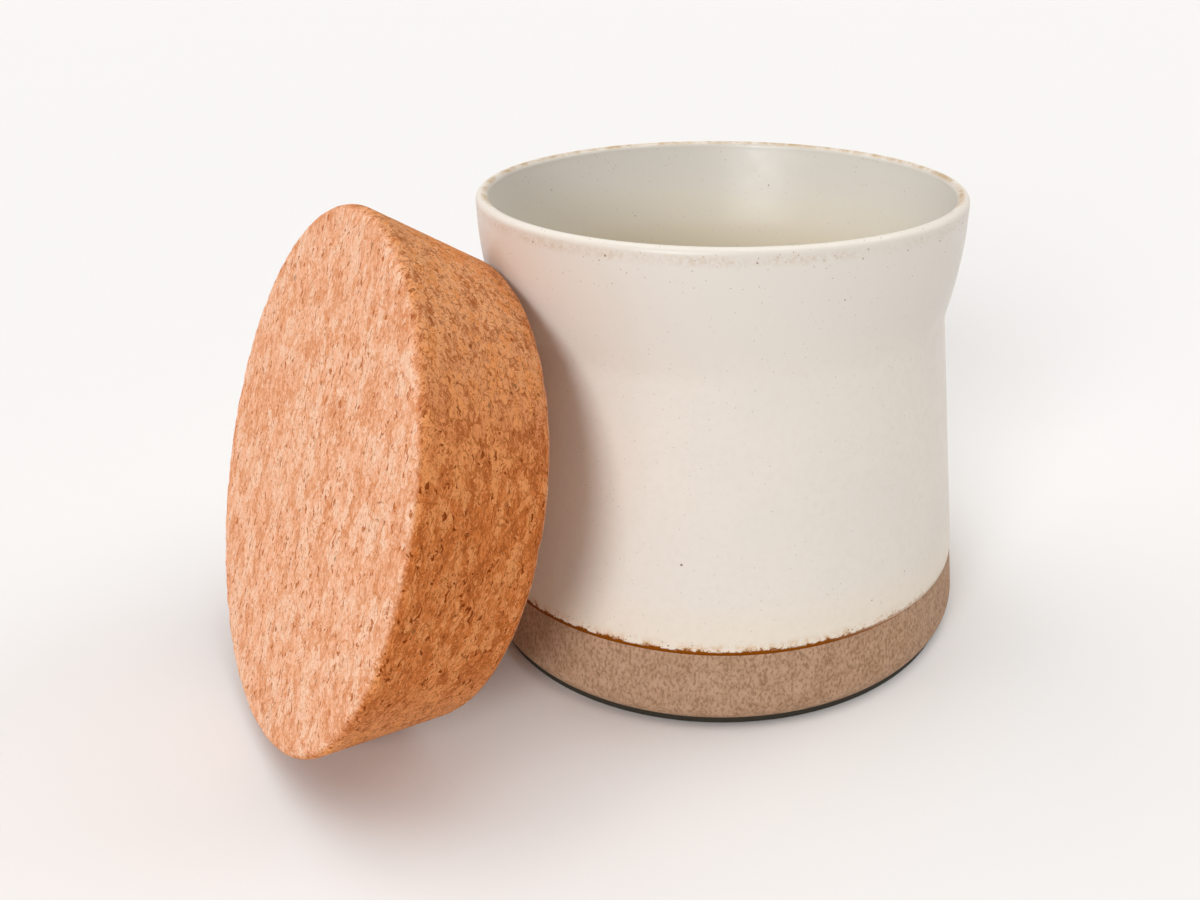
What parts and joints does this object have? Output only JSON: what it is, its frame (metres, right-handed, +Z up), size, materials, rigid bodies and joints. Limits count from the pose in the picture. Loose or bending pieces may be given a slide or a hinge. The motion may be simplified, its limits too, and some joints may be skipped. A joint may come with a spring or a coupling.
{
  "type": "canister with cork lid",
  "caption": "Squat stoneware storage canister with a flared mouth and a bare clay base, its tapered cork plug lid leaning against its neck.",
  "frame": {"origin": "on the canister's axis, at its flat underside", "axes": "+Z up along the canister's axis; the lid leans on the canister from its -X side"},
  "size_m": [0.1792, 0.1208, 0.1101],
  "materials": {
    "glazed_stoneware": "satin ivory glaze with fine iron specks inside and out, over grey-brown clay that is left bare around the base",
    "cork": "matte pressed cork of fine pale and brown flakes, with small pits"
  },
  "bodies": {
    "root": {"stoneware_canister": "glazed_stoneware", "cork_lid": "cork"}
  },
  "joints": []
}
